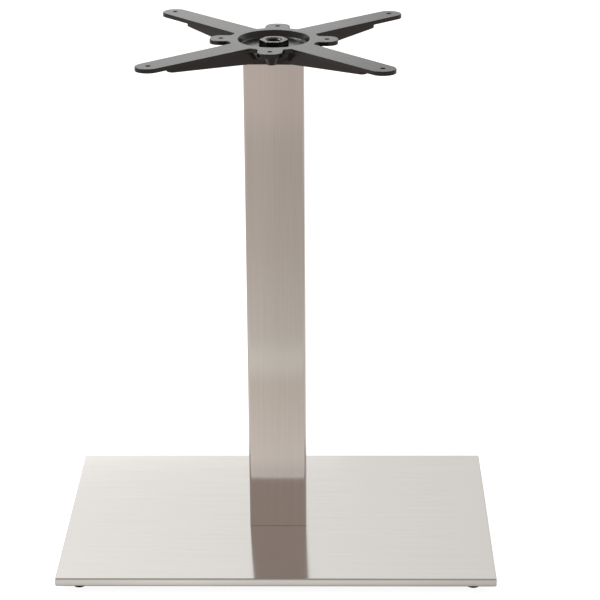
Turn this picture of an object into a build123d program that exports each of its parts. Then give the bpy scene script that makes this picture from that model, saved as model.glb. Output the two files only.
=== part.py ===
from build123d import *
import os

os.makedirs("parts", exist_ok=True)

# Lengths are in millimetres and angles in degrees.
# The origin is on the floor under the column, +X runs along the base, +Y to the back, +Z up.

# overall sizes
total_height = 725.0          # floor to the face that carries the tabletop
base_length = 600.0           # along X
base_width = 400.0            # along Y
foot_clearance = 13.0         # floor to the underside of the base

# base cover: one stainless sheet folded round the weight plate
cover_sheet = 1.0
cover_bend = 2.0              # outside radius of every fold
cover_lip = 12.0              # width of the lip turned in underneath
weight_thickness = 10.0
weight_play = 0.15            # side gap between weight plate and cover

# column: square stainless tube
column_size = 80.0
column_wall = 1.5
column_corner = 3.0           # outside corner radius

# locator: steel block in the foot of the column, screwed down from below
locator_height = 20.0
slip_fit = 0.25               # gap on each side of what slips into the tube
locator_corner = 4.0
locator_screw_spread = 25.0   # each screw's distance from the centre, along X and along Y
screw_diameter = 8.0
screw_head_diameter = 16.0    # countersunk at 90 degrees
screw_length = 20.0           # measured over the head
screw_socket = 5.0            # hexagon socket, across flats
screw_socket_depth = 2.5
screw_hole_play = 0.5         # radial gap where a screw passes through a plate
thread_play = 0.05            # radial gap between the plain stand-ins for two mating threads

# tie rod, nuts and washer
rod_diameter = 22.0
rod_end_chamfer = 1.5
rod_bottom_gap = 1.0          # rod end to the sheet under the locator
nut_flats = 34.0
nut_height = 11.0
hexagon_face_share = 1.08     # circle that trims a hexagon's corners at its ends, as a share of its flats
nut_drop = 1.0                # top of the nut below the tabletop
rod_drop = 6.5                # end of the rod below the top of the nut
washer_diameter = 39.0
washer_thickness = 3.0
washer_play = 0.5             # radial gap round the rod and in the washer's seat

# spider: the black casting that carries the tabletop
spider_turn = -2.8            # its turn about the column, as clamped
spider_rise = 24.5            # end of the tube to the tabletop
plate_thickness = 5.5
tabletop_hole_diameter = 7.0  # screw holes in arms and lugs
arm_hole_square = 298.0       # side of the square of four arm holes
arm_root_width = 40.0         # arm's width at the centre
arm_tip_width = 35.0          # and at its hole
rib_root_width = 34.0         # rib under each arm, at the centre
rib_tip_width = 14.0          # and at its outer end
rib_reach = 180.0             # outer end of the rib from the centre
rib_end_depth = 14.0          # rib's lower edge below the tabletop, at that end
rib_edge_round = 2.0
lug_hole_square = 100.0       # side of the square of four lug holes, turned by 45
lug_width = 33.5
lug_tip = 15.0                # lug's end beyond its hole
lug_corner = 14.0
buttress_top_radius = 16.0    # tapered buttress under each lug, where it meets the plate
buttress_top_stand = 26.0     # its reach beyond the column's face there
buttress_foot_radius = 7.0    # and at its lower end
buttress_foot_stand = 7.0
rim_width = 13.0              # flat ring between the dish and the notches
notch_radius = 4.0            # where lugs and arms leave the ring
outline_round = 1.2           # rounded edge of the top face
dish_diameter = 96.0
dish_depth = 8.7
dish_draft = 3.5              # how far the wall comes in on its way to the floor
dish_floor_round = 2.5
dish_edge_round = 1.2
washer_floor_thickness = 8.0  # iron left under the washer
cup_step = 3.0                # edge of the ring to the tapered cup under it
cup_tuck = 1.0                # foot of the cup inside the faces of the square seat
seat_stand = 2.5              # square seat's reach over the tube's faces
spigot_wall = 8.0
spigot_depth = 12.0
spigot_chamfer = 1.5

# levelling feet
foot_inset = 30.0             # foot centre from the two nearest edges of the base
pad_diameter = 20.0
pad_height = 10.0
pad_rim_height = 4.0
pad_top_diameter = 16.0
pad_chamfer = 1.5
stud_diameter = 8.0
stud_play = 0.1               # radial gap in the tapped hole of the weight plate
stud_engagement = 7.5         # shank inside the weight plate with the foot screwed home
stud_root = 6.0               # shank pressed into the pad
stud_flats = 13.0
stud_chamfer = 0.8            # at both ends of the shank

# levels and sizes that follow from the ones above
base_thickness = weight_thickness + 2 * cover_sheet
base_top = foot_clearance + base_thickness
weight_bottom = foot_clearance + cover_sheet
weight_top = weight_bottom + weight_thickness
tube_inside = column_size - 2 * column_wall
tube_top = total_height - spider_rise
arm_hole_radius = arm_hole_square / 2 ** 0.5
lug_hole_radius = lug_hole_square / 2 ** 0.5
nut_bottom = total_height - nut_drop - nut_height
washer_seat = nut_bottom - washer_thickness
rod_radius = rod_diameter / 2
rod_bottom = base_top + rod_bottom_gap
rod_top = nut_bottom + nut_height - rod_drop
foot_x = base_length / 2 - foot_inset
foot_y = base_width / 2 - foot_inset

# two lengths closer than this are the same
SAME = 0.01
# anything built with this grows up from its own origin
ON_FLOOR = (Align.CENTER, Align.CENTER, Align.MIN)


def upright(radius, bottom, top):
    """Round bar or round hole on the Z axis, between two levels."""
    return Pos(0, 0, bottom) * Cylinder(radius, top - bottom, align=ON_FLOOR)


def block(length, width, bottom, top):
    """Rectangular block centred on the Z axis, between two levels."""
    return Pos(0, 0, bottom) * Box(length, width, top - bottom, align=ON_FLOOR)


def hexagon(flats):
    """Hexagon with two corners on the X axis, by its size across flats."""
    return RegularPolygon(flats / 2, 6, major_radius=False)


def four_places(x, y):
    """The four places that mirror one another about the two middle planes."""
    return [Pos(side * x, depth * y) for depth in (-1, 1) for side in (-1, 1)]


def rounded_block(length, width, bottom, top, radius):
    """Block with every edge rounded alike."""
    sharp = block(length, width, bottom, top)
    return fillet(sharp.edges(), radius)


def base_cover():
    """Folded sheet: top, skirt and turned-in lip, held under the locator by its screws."""
    skin = rounded_block(base_length, base_width, foot_clearance, base_top, cover_bend)
    inside_length = base_length - 2 * cover_sheet
    inside_width = base_width - 2 * cover_sheet
    inside_bend = cover_bend - cover_sheet
    skin -= rounded_block(inside_length, inside_width, weight_bottom, weight_top, inside_bend)
    skin -= block(base_length - 2 * cover_lip, base_width - 2 * cover_lip, foot_clearance, weight_top)
    screw_hole = upright(screw_diameter / 2 + screw_hole_play, weight_top, base_top)
    for place in four_places(locator_screw_spread, locator_screw_spread):
        skin -= place * screw_hole
    return skin


def base_weight_plate():
    """Steel plate inside the cover, tapped for the feet and countersunk for the locator's screws."""
    length = base_length - 2 * (cover_sheet + weight_play)
    width = base_width - 2 * (cover_sheet + weight_play)
    plate = rounded_block(length, width, weight_bottom, weight_top, cover_bend - cover_sheet)
    stud_hole = upright(stud_diameter / 2 + stud_play, weight_bottom, weight_top)
    for place in four_places(foot_x, foot_y):
        plate -= place * stud_hole
    screw_hole = upright(screw_diameter / 2 + screw_hole_play, weight_bottom, weight_top)
    for place in four_places(locator_screw_spread, locator_screw_spread):
        plate -= place * (screw_hole + screw_head())
    return plate


def screw_head():
    """Cone of a countersunk head, its wide end level with the plate's underside."""
    height = (screw_head_diameter - screw_diameter) / 2
    cone = Cone(screw_head_diameter / 2, screw_diameter / 2, height, align=ON_FLOOR)
    return Pos(0, 0, weight_bottom) * cone


def locator_screws():
    """Four countersunk socket screws, driven up through weight plate and cover into the locator."""
    screw = screw_head() + upright(screw_diameter / 2, weight_bottom, weight_bottom + screw_length)
    screw -= Pos(0, 0, weight_bottom) * extrude(hexagon(screw_socket), screw_socket_depth)
    return [place * screw for place in four_places(locator_screw_spread, locator_screw_spread)]


def column_locator():
    """Square block that centres the foot of the column and takes the tie rod's lower thread."""
    size = tube_inside - 2 * slip_fit
    body = extrude(RectangleRounded(size, size, locator_corner), locator_height)
    body = Pos(0, 0, base_top) * body
    top = base_top + locator_height
    body -= upright(rod_radius + thread_play, base_top, top)
    screw_hole = upright(screw_diameter / 2 + thread_play, base_top, top)
    for place in four_places(locator_screw_spread, locator_screw_spread):
        body -= place * screw_hole
    return body


def column_tube():
    """Square tube standing on the base cover, cut square at both ends."""
    outer = RectangleRounded(column_size, column_size, column_corner)
    inner = RectangleRounded(tube_inside, tube_inside, column_corner - column_wall)
    return Pos(0, 0, base_top) * extrude(outer - inner, tube_top - base_top)


def tie_rod():
    """Threaded rod that pulls the spider down on the column."""
    rod = upright(rod_radius, rod_bottom, rod_top)
    return chamfer(rod.edges().filter_by(GeomType.CIRCLE), rod_end_chamfer)


def turned(*points):
    """Round body about the Z axis, from the points (radius, level) of its half section."""
    return revolve(Plane.XZ * Polygon(*points, align=None), Axis.Z)


def hexagon_body(flats, bottom, top):
    """Hexagon bar between two levels, its corners turned off at both ends."""
    corner_radius = flats / 3 ** 0.5
    face_radius = hexagon_face_share * flats / 2
    slope = (corner_radius - face_radius) / 3 ** 0.5
    bar = Pos(0, 0, bottom) * extrude(hexagon(flats), top - bottom)
    return bar & turned(
        (0, bottom),
        (face_radius, bottom),
        (corner_radius, bottom + slope),
        (corner_radius, top - slope),
        (face_radius, top),
        (0, top),
    )


def hex_nut(bottom):
    """Thin hexagon nut standing on a level."""
    top = bottom + nut_height
    return hexagon_body(nut_flats, bottom, top) - upright(rod_radius + thread_play, bottom, top)


def top_washer():
    """Plain washer in its seat in the floor of the dish."""
    ring = upright(washer_diameter / 2, washer_seat, nut_bottom)
    return ring - upright(rod_radius + washer_play, washer_seat, nut_bottom)


def around(shape, first_angle):
    """Four copies of a shape about the Z axis, a quarter turn apart."""
    return [Rot(0, 0, first_angle + 90 * step) * shape for step in range(4)]


def finger(root_width, tip_width, reach):
    """Tapered strip from the centre along X with round ends, by the centre of the outer one."""
    root = Circle(root_width / 2)
    tip = Pos(reach, 0) * Circle(tip_width / 2)
    return make_hull(root.edges() + tip.edges())


def lug():
    """Plan of one lug along X: a strip from the centre with a square end and rounded corners."""
    reach = lug_hole_radius + lug_tip
    strip = Pos(reach / 2, 0) * Rectangle(reach, lug_width)
    return fillet(strip.vertices().sort_by(Axis.X)[-2:], lug_corner)


def spider_outline():
    """Plan of the spider: ring, four long arms on the diagonals and four short lugs between them."""
    ring_radius = dish_diameter / 2 + rim_width
    plan = Circle(ring_radius)
    plan += around(finger(arm_root_width, arm_tip_width, arm_hole_radius), 45)
    plan += around(lug(), 0)
    notch_corners = [v for v in plan.vertices() if abs(v.center().length - ring_radius) < SAME]
    return fillet(notch_corners, notch_radius)


def arm_rib():
    """Rib under one arm: it gets shallower outwards and ends in a round."""
    plan = finger(rib_root_width, rib_tip_width, rib_reach - rib_tip_width / 2)
    side = Polygon(
        (0, -plate_thickness / 2),
        (rib_reach, -plate_thickness / 2),
        (rib_reach, -rib_end_depth),
        (column_size / 2 + seat_stand, -spider_rise),
        (0, -spider_rise),
        align=None,
    )
    rib = extrude(plan, -spider_rise) & extrude(Plane.XZ * side, rib_root_width, both=True)
    lower_edges = rib.faces().filter_by(Axis.Z, reverse=True).sort_by(Axis.Z)[0].edges()
    return fillet(lower_edges, rib_edge_round)


def lug_buttress():
    """Tapered buttress under the root of a lug, from the plate down to the seat."""
    top_centre = column_size / 2 + buttress_top_stand - buttress_top_radius
    foot_centre = column_size / 2 + buttress_foot_stand - buttress_foot_radius
    upper = Pos(top_centre, 0, -plate_thickness / 2) * Circle(buttress_top_radius)
    lower = Pos(foot_centre, 0, -spider_rise) * Circle(buttress_foot_radius)
    return loft([upper, lower])


def hub():
    """Tapered cup round the dish, square seat on the tube and round spigot inside the tube."""
    cup_radius = dish_diameter / 2 + rim_width - cup_step
    seat_size = column_size + 2 * seat_stand
    cup = turned(
        (0, -spider_rise),
        (seat_size / 2 - cup_tuck, -spider_rise),
        (cup_radius, -plate_thickness),
        (cup_radius, -plate_thickness / 2),
        (0, -plate_thickness / 2),
    )
    seat_plan = RectangleRounded(seat_size, seat_size, column_corner + seat_stand)
    seat = Pos(0, 0, -spider_rise) * extrude(seat_plan, spider_rise - plate_thickness / 2)
    spigot_radius = tube_inside / 2 - slip_fit
    spigot = upright(spigot_radius, -spider_rise - spigot_depth, -spider_rise)
    spigot = chamfer(spigot.edges().sort_by(Axis.Z)[0], spigot_chamfer)
    return cup + seat + spigot


def dish():
    """What the dish takes out: drafted wall, rounded foot of the wall and the washer's deeper seat."""
    radius = dish_diameter / 2
    pan = turned(
        (0, -dish_depth),
        (radius - dish_draft, -dish_depth),
        (radius, 0),
        (0, 0),
    )
    pan = fillet(pan.edges().sort_by(Axis.Z)[0], dish_floor_round)
    return pan + upright(washer_diameter / 2 + washer_play, washer_seat - total_height, -dish_depth)


def top_spider():
    """The casting, turned as it is clamped: plate, ribs, buttresses and hub in one piece."""
    body = extrude(spider_outline(), -plate_thickness)
    body += hub()
    body += around(arm_rib(), 45)
    body += around(lug_buttress(), 0)
    body -= dish()
    top_face = body.faces().sort_by(Axis.Z)[-1]
    body = fillet(top_face.outer_wire().edges(), outline_round)
    top_face = body.faces().sort_by(Axis.Z)[-1]
    body = fillet(top_face.inner_wires().edges(), dish_edge_round)
    washer_floor = washer_seat - total_height - washer_floor_thickness
    body -= upright(rod_radius + washer_play, washer_floor, 0)
    cavity_radius = tube_inside / 2 - slip_fit - spigot_wall
    body -= upright(cavity_radius, -spider_rise - spigot_depth, washer_floor)
    screw_hole = upright(tabletop_hole_diameter / 2, -plate_thickness, 0)
    for hole in around(Pos(arm_hole_radius, 0) * screw_hole, 45):
        body -= hole
    for hole in around(Pos(lug_hole_radius, 0) * screw_hole, 0):
        body -= hole
    return Pos(0, 0, total_height) * Rot(0, 0, spider_turn) * body


def foot_pad():
    """Nylon pad: upright rim, tapered shoulder and the blind hole that the stud is pressed into."""
    rim = pad_diameter / 2
    pad = turned(
        (0, 0),
        (rim - pad_chamfer, 0),
        (rim, pad_chamfer),
        (rim, pad_rim_height),
        (pad_top_diameter / 2, pad_height),
        (0, pad_height),
    )
    return pad - upright(stud_diameter / 2, pad_height - stud_root, pad_height)


def foot_stud():
    """Steel stud: root in the pad, hexagon collar against the weight plate and threaded shank."""
    collar = hexagon_body(stud_flats, pad_height, weight_bottom)
    shank = upright(stud_diameter / 2, pad_height - stud_root, weight_bottom + stud_engagement)
    return collar + chamfer(shank.edges().filter_by(GeomType.CIRCLE), stud_chamfer)


pieces = {
    "base_weight_plate": base_weight_plate(),
    "base_cover": base_cover(),
    "column_locator": column_locator(),
    "locator_screws": Compound(children=locator_screws()),
    "tie_rod": tie_rod(),
    "rod_lock_nut": hex_nut(base_top + locator_height),
    "column_tube": column_tube(),
    "top_spider": top_spider(),
    "top_washer": top_washer(),
    "top_nut": hex_nut(nut_bottom),
}
corners = ["front_left", "front_right", "back_left", "back_right"]
for corner, place in zip(corners, four_places(foot_x, foot_y)):
    pieces["foot_pad_" + corner] = place * foot_pad()
    pieces["foot_stud_" + corner] = place * foot_stud()

for name, piece in pieces.items():
    export_step(piece, "parts/" + name + ".step")
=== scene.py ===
from math import pi, radians

import bpy
import numpy as np
from mathutils import Matrix, Vector


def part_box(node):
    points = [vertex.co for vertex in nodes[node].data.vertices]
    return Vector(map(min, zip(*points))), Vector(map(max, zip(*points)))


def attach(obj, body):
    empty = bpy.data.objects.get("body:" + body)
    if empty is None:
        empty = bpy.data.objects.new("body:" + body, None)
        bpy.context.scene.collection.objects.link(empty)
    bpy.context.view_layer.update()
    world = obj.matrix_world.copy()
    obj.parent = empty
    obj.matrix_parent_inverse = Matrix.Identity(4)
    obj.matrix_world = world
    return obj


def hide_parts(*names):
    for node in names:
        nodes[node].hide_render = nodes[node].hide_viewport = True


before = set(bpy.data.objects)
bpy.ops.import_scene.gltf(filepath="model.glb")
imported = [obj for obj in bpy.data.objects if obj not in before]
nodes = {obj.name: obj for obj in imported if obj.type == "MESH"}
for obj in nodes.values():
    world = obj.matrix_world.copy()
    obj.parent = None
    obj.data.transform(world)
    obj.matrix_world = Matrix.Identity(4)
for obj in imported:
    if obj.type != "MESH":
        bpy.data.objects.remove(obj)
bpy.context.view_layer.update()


# Weight plate: mild steel plate inside the base, cut to size, drilled and tapped, then painted matt black by brush.
# It lies in the folded cover and shows only from below, between the cover's lips.

mm = 0.001
# The Mix node's two colours and its mixed colour, by the numbers of their sockets.
first_colour, second_colour, mixed_colour = 6, 7, 2
# Most of a noise's values lie in this range.
noise_low, noise_high = 0.3, 0.7


def linear(code):
    """An sRGB hex colour as linear red, green, blue and alpha."""
    srgb = np.array([int(code[i : i + 2], 16) for i in (1, 3, 5)]) / 255
    flat = np.where(srgb <= 0.04045, srgb / 12.92, ((srgb + 0.055) / 1.055) ** 2.4)
    return (*flat, 1.0)


def add(tree, kind, inputs=None, **settings):
    """Adds a shader node with its settings; an input is given a value or linked to another node's socket."""
    node = tree.nodes.new("ShaderNode" + kind)
    for key, value in settings.items():
        setattr(node, key, value)
    for name, value in (inputs or {}).items():
        if isinstance(value, bpy.types.NodeSocket):
            tree.links.new(value, node.inputs[name])
        else:
            node.inputs[name].default_value = value
    return node


def new_material(name, **values):
    """A material with one Principled shader, whose inputs are set by their names in small letters."""
    material = bpy.data.materials.new(name)
    material.use_nodes = True
    shader = material.node_tree.nodes["Principled BSDF"]
    for key, value in values.items():
        shader.inputs[key.replace("_", " ").title().replace("Ior", "IOR")].default_value = value
    return material, material.node_tree, shader


def grains(tree, size, stretch=(1, 1, 1), detail=3.0):
    """A noise whose grains are size millimetres across, times stretch along each axis, on Object coordinates."""
    place = add(tree, "TexCoord").outputs["Object"]
    scale = [1 / (size * mm * s) for s in stretch]
    mapped = add(tree, "Mapping", {"Vector": place, "Scale": scale}).outputs["Vector"]
    return add(tree, "TexNoise", {"Vector": mapped, "Scale": 1.0, "Detail": detail}).outputs["Fac"]


def between(tree, factor, low, high):
    """A noise's middle range spread from low to high."""
    limits = {"Value": factor, "From Min": noise_low, "From Max": noise_high, "To Min": low, "To Max": high}
    return add(tree, "MapRange", limits).outputs["Result"]


def two_tones(tree, factor, dark, light):
    """A colour that runs between two sRGB hex colours as the factor runs through a noise's middle range."""
    share = between(tree, factor, 0.0, 1.0)
    blend = {"Factor": share, first_colour: linear(dark), second_colour: linear(light)}
    return add(tree, "Mix", blend, data_type="RGBA").outputs[mixed_colour]


def roughened(tree, shader, height, depth):
    """Bump on a shader from a height, which at its full range stands depth millimetres proud."""
    bump = add(tree, "Bump", {"Height": height, "Strength": 1.0, "Distance": depth * mm})
    tree.links.new(bump.outputs["Normal"], shader.inputs["Normal"])


def finish_node(name, material):
    """Gives a CAD node its material."""
    nodes[name].data.materials.clear()
    nodes[name].data.materials.append(material)


# Brushed paint on mill plate: dull black with faint long brush marks and a slightly uneven sheen.
plate_paint, tree, shader = new_material("matt_black_paint_on_steel_plate", roughness=0.55)
paint_mark_width = 2.5
paint_mark_depth = 0.05
paint_marks = grains(tree, paint_mark_width, stretch=(30, 1, 1))
tree.links.new(two_tones(tree, paint_marks, "#191919", "#242322"), shader.inputs["Base Color"])
tree.links.new(between(tree, paint_marks, 0.48, 0.66), shader.inputs["Roughness"])
roughened(tree, shader, paint_marks, paint_mark_depth)
finish_node("base_weight_plate", plate_paint)


# Base cover: one stainless sheet folded down round the weight plate and turned in underneath, corners welded and
# dressed, then brushed along its length. The screws of the column's locator hold it in the middle.

cover_low, cover_high = [np.array(corner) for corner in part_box("base_cover")]
cover_sheet = 1.0 * mm
cover_bend = 2.0 * mm
cover_lip = 12.0 * mm
least_corner = 0.2 * mm
bend_steps = 8
sharp_angle = radians(35)


def rounded_loop(half_length, half_width, radius, level, steps=bend_steps):
    """Points round a rectangle with round corners: each corner's centre plus its radius times (cos, sin) of an
    angle that runs a quarter turn per corner."""
    angle = np.linspace(0, pi / 2, steps + 1)
    turn = angle + np.arange(4)[:, None] * pi / 2
    centre_x = np.array([1, -1, -1, 1])[:, None] * (half_length - radius)
    centre_y = np.array([1, 1, -1, -1])[:, None] * (half_width - radius)
    x = centre_x + radius * np.cos(turn)
    y = centre_y + radius * np.sin(turn)
    return np.stack([x.ravel(), y.ravel(), np.full(x.size, level)], axis=1)


def skin(name, rings, ring_closed=False):
    """A mesh from rings of equally many points: quads between neighbours, wrapped round each ring. The last ring
    joins the first again, or both end rings are capped with a flat face."""
    count, around = rings.shape[:2]
    index = np.arange(count * around).reshape(count, around)
    if ring_closed:
        index = np.vstack([index, index[:1]])
    here, there = index[:-1], index[1:]
    quads = np.stack([here, np.roll(here, -1, 1), np.roll(there, -1, 1), there], axis=-1)
    faces = quads.reshape(-1, 4).tolist()
    if not ring_closed:
        faces += [index[0, ::-1].tolist(), index[-1].tolist()]
    mesh = bpy.data.meshes.new(name)
    mesh.from_pydata(rings.reshape(-1, 3).tolist(), [], faces)
    mesh.shade_smooth()
    mesh.set_sharp_from_angle(angle=sharp_angle)
    piece = bpy.data.objects.new(name, mesh)
    bpy.context.scene.collection.objects.link(piece)
    return piece


def stand_for(piece, node, material, body="base"):
    """Puts a new piece in the place of a CAD node, with its material, slot and body."""
    piece.data.materials.append(material)
    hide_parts(node)
    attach(piece, body)


def quarter(start, steps=bend_steps):
    """Cosine and sine of angles over a quarter turn."""
    angle = start + np.linspace(0, pi / 2, steps + 1)
    return np.stack([np.cos(angle), np.sin(angle)], axis=1)


def folded_section(inset, radius):
    """Half section of one skin of the cover, from the top sheet's edge down the skirt to the lip, as (distance in
    from the skirt's outside, level): a quarter arc, the skirt's straight and a second quarter arc."""
    top, bottom = cover_high[2] - inset, cover_low[2] + inset
    upper = quarter(0)[::-1] * [-radius, radius] + [inset + radius, top - radius]
    lower = quarter(-pi / 2)[::-1] * [-radius, radius] + [inset + radius, bottom + radius]
    return np.vstack([upper, lower, [[cover_lip, bottom]]])


outer_section = folded_section(0, cover_bend)
inner_section = folded_section(cover_sheet, cover_bend - cover_sheet)
cover_section = np.vstack([outer_section, inner_section[::-1]])
half_length, half_width = cover_high[:2]
cover_rings = np.array([
    rounded_loop(half_length - inset, half_width - inset, max(cover_bend - inset, least_corner), level)
    for inset, level in cover_section
])
base_cover = skin("base_cover_sheet", cover_rings)


# A belt's lines are about 0.1 mm wide, too fine to show here, so the streaks are drawn twelve times as wide.
streak_width = 1.2
streak_stretch = 120
streak_depth = 0.004


def brushed_stainless(name, along):
    """Stainless steel brushed with a belt along one axis: a clear reflection along the lines, drawn out across them,
    with faint streaks of tone and sheen."""
    material, tree, shader = new_material(name, metallic=1.0, roughness=0.12, anisotropic=0.65)
    stretch = [streak_stretch if axis == along else 1 for axis in "XYZ"]
    streaks = grains(tree, streak_width, stretch=stretch, detail=5.0)
    tree.links.new(two_tones(tree, streaks, "#d8d5d0", "#dedbd7"), shader.inputs["Base Color"])
    tree.links.new(between(tree, streaks, 0.10, 0.14), shader.inputs["Roughness"])
    tangent = add(tree, "Tangent", direction_type="RADIAL", axis=along)
    tree.links.new(tangent.outputs["Tangent"], shader.inputs["Tangent"])
    roughened(tree, shader, streaks, streak_depth)
    return material


cover_steel = brushed_stainless("stainless_brushed_along_base", "X")
stand_for(base_cover, "base_cover", cover_steel)


# Column locator: square block sawn from bright steel bar, which centres the foot of the tube. It is bored and
# tapped for the tie rod in the middle, and is held down by four screws driven up through the base.

# Bright-drawn bar: mid-grey metal with short milling marks and a thin film of oil that breaks up the shine.
locator_steel, tree, shader = new_material("bright_drawn_steel_bar", metallic=1.0, roughness=0.35)
milling_width = 1.5
milling_depth = 0.02
oil_patch = 6.0
milling = grains(tree, milling_width, stretch=(1, 20, 20))
tree.links.new(two_tones(tree, milling, "#8b8a88", "#a3a19e"), shader.inputs["Base Color"])
tree.links.new(between(tree, grains(tree, oil_patch), 0.26, 0.46), shader.inputs["Roughness"])
roughened(tree, shader, milling, milling_depth)
finish_node("column_locator", locator_steel)


# Locator screws: four countersunk socket screws of hardened steel, blackened in hot oxide and oiled. They sit
# flush in the underside of the weight plate.

# Black oxide: near-black steel with a soft oily shine and small bare flecks where the driver has touched it.
black_oxide, tree, shader = new_material("black_oxide_steel", metallic=1.0, roughness=0.24)
fleck_width = 0.8
fleck_depth = 0.01
flecks = grains(tree, fleck_width)
tree.links.new(two_tones(tree, flecks, "#4a494a", "#636061"), shader.inputs["Base Color"])
tree.links.new(between(tree, flecks, 0.2, 0.3), shader.inputs["Roughness"])
roughened(tree, shader, flecks, fleck_depth)
finish_node("locator_screws", black_oxide)


# Tie rod: threaded bar of blackened steel, run into the locator and locked there by a thin nut. It reaches up
# through the column and pulls the spider down on it.

rod_pitch = 2.5 * mm
rod_rings_per_pitch = 5
rod_points_around = 32
thread_depth_share = 0.6134
thread_flat_share = 0.15


def thread_radius(angle, level, crest, pitch):
    """Radius of a screw thread: the crest less a V with flattened ends, whose phase goes once through its range
    for each pitch along the axis and for each turn about it."""
    phase = level / pitch - angle / (2 * pi)
    from_crest = np.abs(2 * (phase - np.round(phase)))
    flattened = np.clip((1 + 2 * thread_flat_share) * from_crest - thread_flat_share, 0, 1)
    return crest - thread_depth_share * pitch * flattened


def turned(angle, level, radius, centre=(0, 0)):
    """Points at an angle about an upright axis, a radius from it and a level."""
    angle, level, radius = np.broadcast_arrays(angle, level, radius)
    x = centre[0] + radius * np.cos(angle)
    y = centre[1] + radius * np.sin(angle)
    return np.stack([x, y, level], axis=-1)


def round_angles(count):
    """Angles of a full turn, without the last."""
    return np.linspace(0, 2 * pi, count, endpoint=False)


rod_low, rod_high = [np.array(corner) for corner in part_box("tie_rod")]
rod_crest = rod_high[0]
rod_core = rod_crest - thread_depth_share * rod_pitch
rod_angle = round_angles(rod_points_around)
rod_rings = int((rod_high[2] - rod_low[2]) / rod_pitch * rod_rings_per_pitch)
rod_level = np.linspace(rod_low[2], rod_high[2], rod_rings)[:, None]
# Both ends are chamfered at 45 degrees, up from the thread's core.
rod_end = rod_core + np.minimum(rod_level - rod_low[2], rod_high[2] - rod_level)
rod_radius = np.minimum(thread_radius(rod_angle, rod_level, rod_crest, rod_pitch), rod_end)
tie_rod = skin("tie_rod_thread", turned(rod_angle, rod_level, rod_radius))
stand_for(tie_rod, "tie_rod", black_oxide)


# Nuts: two thin hexagon nuts of blackened steel, cold formed, with their corners turned off at 30 degrees and the
# bore tapped. One locks the rod to the locator, the other clamps the spider down on the column.

nut_flats = 34.0 * mm
nut_mouth = 0.6 * mm
nut_rings_per_pitch = 12
thread_play = 0.05 * mm
hexagon_steps = 16
# The round flat on a nut's face, by the width across the nut's flats.
nut_face_share = 1.08


def hexagon_radius(angle, level, flats, low, high):
    """Radius of a hexagon bar with two corners on X: half its flats over the cosine of the angle from the nearest
    flat's middle, cut by a 30 degree cone at both ends."""
    flat = flats / 2 / np.cos(np.mod(angle, pi / 3) - pi / 6)
    cone = nut_face_share * flats / 2 + np.sqrt(3) * np.minimum(level - low, high - level)
    return np.minimum(flat, cone)


def hexagon_levels(flats, low, high, steps=6):
    """Levels up a hexagon bar: close together in the turned-off ends, with one straight run between them."""
    slope = (1 / np.sqrt(3) - nut_face_share / 2) * flats / np.sqrt(3)
    end = np.linspace(0, slope, steps)
    return np.concatenate([low + end, high - end[::-1]])[:, None]


def hexagon_nut(name, low, high):
    """Closed ring: up the hexagon's outside, in over the top face, down the tapped bore with its chamfered mouths
    and back out underneath."""
    angle = round_angles(6 * hexagon_steps)
    level = hexagon_levels(nut_flats, low, high)
    outside = turned(angle, level, hexagon_radius(angle, level, nut_flats, low, high))
    bore_level = np.linspace(high, low, int((high - low) / rod_pitch * nut_rings_per_pitch))[:, None]
    mouth = rod_crest + nut_mouth - np.minimum(bore_level - low, high - bore_level)
    thread = thread_radius(angle, bore_level, rod_crest, rod_pitch) + thread_play
    bore = turned(angle, bore_level, np.maximum(thread, mouth))
    return skin(name, np.vstack([outside, bore]), ring_closed=True)


for node in ("rod_lock_nut", "top_nut"):
    nut_low, nut_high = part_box(node)
    nut = hexagon_nut(node + "_tapped", nut_low[2], nut_high[2])
    stand_for(nut, node, black_oxide)


# Column: square stainless tube, cut square and deburred at both ends, and brushed along its length. It stands on
# the base cover round the locator and is held by the pull of the tie rod alone.

tube_low, tube_high = [np.array(corner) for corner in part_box("column_tube")]
tube_wall = 1.5 * mm
tube_corner = 3.0 * mm
tube_deburr = 0.5 * mm
tube_bottom, tube_top = tube_low[2], tube_high[2]
# Inset from the outside and level, once round the wall: outside up, over the end, inside down.
tube_section = [
    (tube_deburr, tube_bottom),
    (0, tube_bottom + tube_deburr),
    (0, tube_top - tube_deburr),
    (tube_deburr, tube_top),
    (tube_wall - tube_deburr, tube_top),
    (tube_wall, tube_top - tube_deburr),
    (tube_wall, tube_bottom + tube_deburr),
    (tube_wall - tube_deburr, tube_bottom),
]
tube_half = tube_high[0]
tube_rings = np.array([
    rounded_loop(tube_half - inset, tube_half - inset, tube_corner - inset, level)
    for inset, level in tube_section
])
column_tube = skin("column_tube_brushed", tube_rings, ring_closed=True)
column_steel = brushed_stainless("stainless_brushed_along_column", "Z")
stand_for(column_tube, "column_tube", column_steel)


# Spider: grey iron casting that carries the tabletop, with a dish for the nut, four arms on ribs and four lugs. It
# is shot blasted and coated with black powder, and a spigot under its hub centres it in the column.

# Black powder coat: semi-gloss skin with the fine ripple of melted powder over a blasted casting.
powder_coat, tree, shader = new_material("black_powder_coat_on_cast_iron", roughness=0.2, ior=1.53)
ripple_width = 1.6
ripple_depth = 0.03
ripple = grains(tree, ripple_width)
tree.links.new(two_tones(tree, ripple, "#121212", "#181819"), shader.inputs["Base Color"])
tree.links.new(between(tree, ripple, 0.17, 0.25), shader.inputs["Roughness"])
roughened(tree, shader, ripple, ripple_depth)
finish_node("top_spider", powder_coat)


# Washer: plain steel washer, stamped from strip and blackened like the nut above it. It lies loose in the seat in
# the dish and spreads the nut's pull.

finish_node("top_washer", black_oxide)


# Levelling feet: four zinc-plated steel studs with a hexagon collar, screwed up into the weight plate, each pressed
# into a moulded pad of black nylon that stands on the floor.

stud_pitch = 1.25 * mm
stud_radius = 4.0 * mm
stud_flats = 13.0 * mm
stud_root = 6.0 * mm
stud_rings_per_pitch = 8
collar_height = 4.0 * mm


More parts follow.
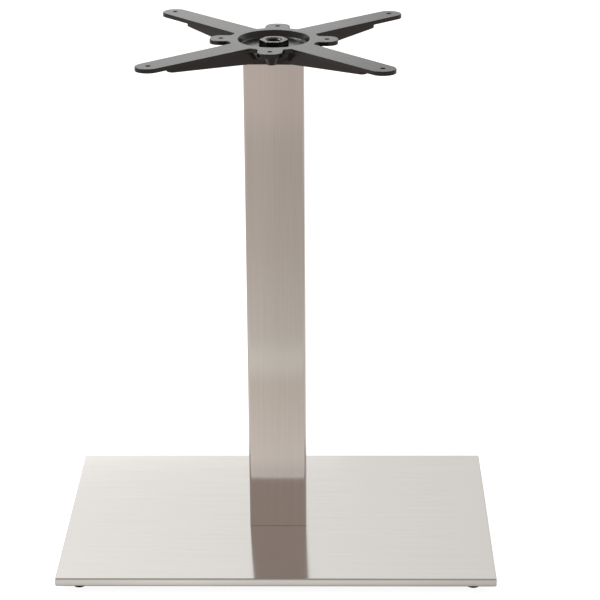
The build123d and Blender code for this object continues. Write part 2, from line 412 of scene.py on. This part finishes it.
def levelling_stud(name, centre, low, high):
    """Plain root, hexagon collar and threaded shank with a chamfered end, one above the other on the same
    angles."""
    angle = round_angles(6 * hexagon_steps)
    collar_low = low + stud_root
    collar_high = collar_low + collar_height
    root = turned(angle, np.array([[low], [collar_low]]), stud_radius, centre)
    level = hexagon_levels(stud_flats, collar_low, collar_high)
    collar = turned(angle, level, hexagon_radius(angle, level, stud_flats, collar_low, collar_high), centre)
    shank_rings = int((high - collar_high) / stud_pitch * stud_rings_per_pitch)
    shank_level = np.linspace(collar_high, high, shank_rings)[:, None]
    shank_end = stud_radius - thread_depth_share * stud_pitch + high - shank_level
    thread = thread_radius(angle, shank_level, stud_radius, stud_pitch)
    shank = turned(angle, shank_level, np.minimum(thread, shank_end), centre)
    return skin(name, np.vstack([root, collar, shank]))


# Bright zinc plate: cool pale metal with a faint cloudy bloom from the bath, and tiny pits that break the shine.
zinc, tree, shader = new_material("bright_zinc_plated_steel", metallic=1.0, roughness=0.3)
bloom_width = 5.0
pit_width = 0.5
pit_depth = 0.01
bloom = grains(tree, bloom_width, detail=6.0)
tree.links.new(two_tones(tree, bloom, "#b4b5b4", "#cccdcb"), shader.inputs["Base Color"])
tree.links.new(between(tree, bloom, 0.22, 0.4), shader.inputs["Roughness"])
roughened(tree, shader, grains(tree, pit_width), pit_depth)

# Moulded nylon: satin black with fine, mostly level scuffs that dull the sheen in places.
nylon, tree, shader = new_material("black_moulded_nylon", roughness=0.45, ior=1.53)
scuff_width = 1.0
scuff_depth = 0.02
scuffs = grains(tree, scuff_width, stretch=(1, 1, 0.4))
tree.links.new(two_tones(tree, scuffs, "#141414", "#1e1e1e"), shader.inputs["Base Color"])
tree.links.new(between(tree, scuffs, 0.38, 0.55), shader.inputs["Roughness"])
roughened(tree, shader, scuffs, scuff_depth)

for corner in ("front_left", "front_right", "back_left", "back_right"):
    stud_low, stud_high = [np.array(end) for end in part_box("foot_stud_" + corner)]
    stud_centre = (stud_low[:2] + stud_high[:2]) / 2
    stud = levelling_stud("stud_thread_" + corner, stud_centre, stud_low[2], stud_high[2])
    stand_for(stud, "foot_stud_" + corner, zinc, body="foot_" + corner)
    finish_node("foot_pad_" + corner, nylon)


# Studio: a seamless paper floor, white under and behind the base, with painted warm grey shade in front of it, in a
# plain room.
# A large soft lamp hangs high on the left, and a lower, weaker one stands far behind.

# Depth along Y in metres and the floor's colour there: painted warm grey shade in front with one faint painted paler
# band, then the paper's white.
floor_tones = [
    (-2.30, "#d4cac5"),
    (-2.00, "#c6bdb7"),
    (-1.30, "#c9c1bb"),
    (-0.80, "#d5d0cb"),
    (-0.76, "#e3dfd9"),
    (-0.67, "#e2dfd9"),
    (-0.63, "#d5cdc6"),
    (-0.32, "#e6dfda"),
    (-0.26, "#d3cecb"),
    (-0.25, "#fbfaf9"),
]
floor_reach = 12.0
floor_mesh = bpy.data.meshes.new("studio_floor")
floor_x, floor_y = np.meshgrid([-floor_reach, floor_reach], [-floor_reach, floor_reach])
floor_points = np.stack([floor_x, floor_y, np.zeros((2, 2))], axis=-1).reshape(-1, 3)
floor_mesh.from_pydata(floor_points.tolist(), [], [(0, 1, 3, 2)])
floor = bpy.data.objects.new("studio_floor", floor_mesh)
bpy.context.scene.collection.objects.link(floor)

# Matt studio paper: no shine of its own, only a soft tone for each place on the floor, painted shade where it is
# grey.
floor_paper, tree, shader = new_material("white_studio_paper", roughness=0.9, specular_ior_level=0.0)
floor_point = add(tree, "TexCoord").outputs["Object"]
floor_place = add(tree, "SeparateXYZ", {"Vector": floor_point}).outputs

# The white part is half a metre wide at the column and widens backwards. In front of the base it is a metre wide, so
# that the base's front edge mirrors one tone. Beyond its sides the painted shade greys the paper as it does in
# front.
white_half_at_column = 0.255
white_widening = 0.14
white_half_in_front = 0.5
front_fade = 10.0 * mm
side_greying = 1.5
across = add(tree, "Math", {0: floor_place["X"]}, operation="ABSOLUTE").outputs[0]
widening = {0: floor_place["Y"], 1: white_widening, 2: white_half_at_column}
half_behind = add(tree, "Math", widening, operation="MULTIPLY_ADD").outputs[0]
in_front = {
    "Value": floor_place["Y"],
    "From Min": cover_low[1],
    "From Max": cover_low[1] + front_fade,
    "To Min": white_half_in_front,
    "To Max": 0.0,
}
half_in_front = add(tree, "MapRange", in_front).outputs["Result"]
white_half = add(tree, "Math", {0: half_behind, 1: half_in_front}, operation="MAXIMUM").outputs[0]
beyond = add(tree, "Math", {0: across, 1: white_half}, operation="SUBTRACT").outputs[0]
beside = add(tree, "Math", {0: beyond, 1: 0.0}, operation="MAXIMUM").outputs[0]
greying = {0: beside, 1: -side_greying, 2: floor_place["Y"]}
floor_depth = add(tree, "Math", greying, operation="MULTIPLY_ADD").outputs[0]

first_depth, last_depth = floor_tones[0][0], floor_tones[-1][0]
along = {"Value": floor_depth, "From Min": first_depth, "From Max": last_depth}
ramp = add(tree, "ValToRGB", {"Fac": add(tree, "MapRange", along).outputs["Result"]})
stops = ramp.color_ramp.elements
stops[0].color = linear(floor_tones[0][1])
stops[1].color = linear(floor_tones[-1][1])
for depth, tone in floor_tones[1:-1]:
    stops.new((depth - first_depth) / (last_depth - first_depth)).color = linear(tone)
paper_and_painted_shade = ramp.outputs["Color"]

# The paper throws back a little less light than its tone, and the lifts below make that up.
paper_dulling = 0.3
dulling = {"Factor": paper_dulling, first_colour: paper_and_painted_shade, second_colour: linear("#000000")}
dulled = add(tree, "Mix", dulling, data_type="RGBA").outputs[mixed_colour]
tree.links.new(dulled, shader.inputs["Base Color"])

# The camera sees the paper lifted to white. What the metal mirrors keeps the floor's painted shade, and a painted
# shadow under the base, which opens to the lit floor within a few centimetres of its edge.
camera_lift = 0.9
dark_until, open_from = -5.0 * mm, 40.0 * mm
path = add(tree, "LightPath").outputs
lifting = {"Factor": path["Is Camera Ray"], first_colour: paper_and_painted_shade, second_colour: linear("#ffffff")}
glow = add(tree, "Mix", lifting, data_type="RGBA").outputs[mixed_colour]
tree.links.new(glow, shader.inputs["Emission Color"])
spread = add(tree, "VectorMath", {0: floor_point}, operation="ABSOLUTE").outputs[0]
base_half = (cover_high[0], cover_high[1], 0.0)
past_edge = add(tree, "VectorMath", {0: spread, 1: base_half}, operation="SUBTRACT").outputs[0]
past = add(tree, "SeparateXYZ", {"Vector": past_edge}).outputs
off_base = add(tree, "Math", {0: past["X"], 1: past["Y"]}, operation="MAXIMUM").outputs[0]
opening = {"Value": off_base, "From Min": dark_until, "From Max": open_from}
out_of_painted_shadow = add(tree, "MapRange", opening).outputs["Result"]
mirrored = add(tree, "Math", {0: path["Is Glossy Ray"], 1: out_of_painted_shadow}, operation="MULTIPLY").outputs[0]

# Painted light: what the metal mirrors is lifted more on the left and falls off to the right.
left_lift, right_lift = 0.53, 0.45
falls_from, falls_to = -0.12, -0.01
fall_off = {
    "Value": floor_place["X"],
    "From Min": falls_from,
    "From Max": falls_to,
    "To Min": left_lift,
    "To Max": right_lift,
}
painted_falloff = add(tree, "MapRange", fall_off).outputs["Result"]
even_lift = add(tree, "Math", {0: mirrored, 1: painted_falloff}, operation="MULTIPLY").outputs[0]

# Close to the base, painted shade also dims what the metal mirrors a little towards the base's corners.
corner_from, corner_to = 0.17, 0.3
corner_loss = 0.25
close_until, far_from = 60.0 * mm, 150.0 * mm
to_corner = {"Value": across, "From Min": corner_from, "From Max": corner_to, "To Max": corner_loss}
painted_corner_shade = add(tree, "MapRange", to_corner).outputs["Result"]
near_base = {"Value": off_base, "From Min": close_until, "From Max": far_from, "To Min": 1.0, "To Max": 0.0}
close_by = add(tree, "MapRange", near_base).outputs["Result"]
dimmed = add(tree, "Math", {0: painted_corner_shade, 1: close_by}, operation="MULTIPLY").outputs[0]
kept = add(tree, "Math", {0: 1.0, 1: dimmed}, operation="SUBTRACT").outputs[0]
mirror_lift = add(tree, "Math", {0: even_lift, 1: kept}, operation="MULTIPLY").outputs[0]

lifts = {0: path["Is Camera Ray"], 1: camera_lift, 2: mirror_lift}
lift = add(tree, "Math", lifts, operation="MULTIPLY_ADD").outputs[0]
tree.links.new(lift, shader.inputs["Emission Strength"])
floor_mesh.materials.append(floor_paper)

# The room is lit by direction: X to the right, Y to the back and Z up, each from -1 to 1.
world = bpy.data.worlds.new("studio_room")
bpy.context.scene.world = world
world.use_nodes = True
tree = world.node_tree
direction = add(tree, "SeparateXYZ", {"Vector": add(tree, "TexCoord").outputs["Generated"]}).outputs

# The backdrop is brightest behind the object's left half and dims to both sides.
backdrop_dim, backdrop_bright = (0.8, 0.79, 0.78, 1.0), (1.1, 1.09, 1.08, 1.0)
dim_right, bright_right, bright_left, dim_left = 0.2, -0.2, -0.3, -0.6
from_right = {"Value": direction["X"], "From Min": dim_right, "From Max": bright_right}
from_far_left = {"Value": direction["X"], "From Min": dim_left, "From Max": bright_left}
right_share = add(tree, "MapRange", from_right).outputs["Result"]
left_share = add(tree, "MapRange", from_far_left).outputs["Result"]
lit_share = add(tree, "Math", {0: right_share, 1: left_share}, operation="MINIMUM").outputs[0]
backdrop = {"Factor": lit_share, first_colour: backdrop_dim, second_colour: backdrop_bright}
backdrop_light = add(tree, "Mix", backdrop, data_type="RGBA").outputs[mixed_colour]

# The room in front is warm, and a little greyer overhead.
overhead_from, overhead_to = 0.5, 0.64
upwards = {"Value": direction["Z"], "From Min": overhead_from, "From Max": overhead_to}
overhead = add(tree, "MapRange", upwards).outputs["Result"]
front = {"Factor": overhead, first_colour: linear("#b4a5a0"), second_colour: linear("#a29d9a")}
front_light = add(tree, "Mix", front, data_type="RGBA").outputs[mixed_colour]

# The walls at both sides are a cooler grey than the warm room in front.
side_from, side_to = 0.4, 0.85
off_middle = add(tree, "Math", {0: direction["X"]}, operation="ABSOLUTE").outputs[0]
to_side = {"Value": off_middle, "From Min": side_from, "From Max": side_to}
side_share = add(tree, "MapRange", to_side, interpolation_type="SMOOTHSTEP").outputs["Result"]
around = {"Factor": side_share, first_colour: front_light, second_colour: linear("#b5b1ae")}
around_light = add(tree, "Mix", around, data_type="RGBA").outputs[mixed_colour]

back_from, back_to = 0.15, 0.65
to_back = {"Value": direction["Y"], "From Min": back_from, "From Max": back_to}
back_share = add(tree, "MapRange", to_back, interpolation_type="SMOOTHSTEP").outputs["Result"]
room = {"Factor": back_share, first_colour: around_light, second_colour: backdrop_light}
room_light = add(tree, "Mix", room, data_type="RGBA").outputs[mixed_colour]
tree.links.new(room_light, tree.nodes["Background"].inputs["Color"])

lamp_aim = (0, 0, 0.7)


def soft_lamp(name, place, width, height, brightness):
    """A rectangular lamp with an even face of a given brightness, at a place and aimed at the top of the column."""
    light = bpy.data.lights.new(name, "AREA")
    light.shape = "RECTANGLE"
    light.size = width
    light.size_y = height
    light.energy = brightness * pi * width * height
    lamp = bpy.data.objects.new(name, light)
    bpy.context.scene.collection.objects.link(lamp)
    lamp.location = place
    lamp.rotation_euler = (Vector(lamp_aim) - Vector(place)).to_track_quat("-Z", "Y").to_euler()


soft_lamp("left_softbox", place=(-2.0, 1.4, 3.7), width=2.0, height=1.2, brightness=5.5)
soft_lamp("back_softbox", place=(-1.5, 9.0, 2.7), width=3.4, height=0.8, brightness=0.65)


# Camera: a long lens about three metres in front of the base, at twice the table's height and a little to the
# right, looking down on it as the photograph does.

camera_place = (0.0804, -2.8479, 1.4329)
camera_down = radians(20.753)
camera_left = radians(0.964)
camera_tilt = radians(-0.383)
camera_lens = 131.67
camera_sensor = 36.0
camera_data = bpy.data.cameras.new("product_camera")
camera_data.lens = camera_lens
camera_data.sensor_width = camera_sensor
camera = bpy.data.objects.new("product_camera", camera_data)
aim = Matrix.Rotation(camera_left, 3, "Z") @ Matrix.Rotation(pi / 2 - camera_down, 3, "X")
camera.location = camera_place
camera.rotation_euler = (aim @ Matrix.Rotation(camera_tilt, 3, "Z")).to_euler()
bpy.context.scene.collection.objects.link(camera)
bpy.context.scene.camera = camera
bpy.context.scene.view_settings.view_transform = "Standard"
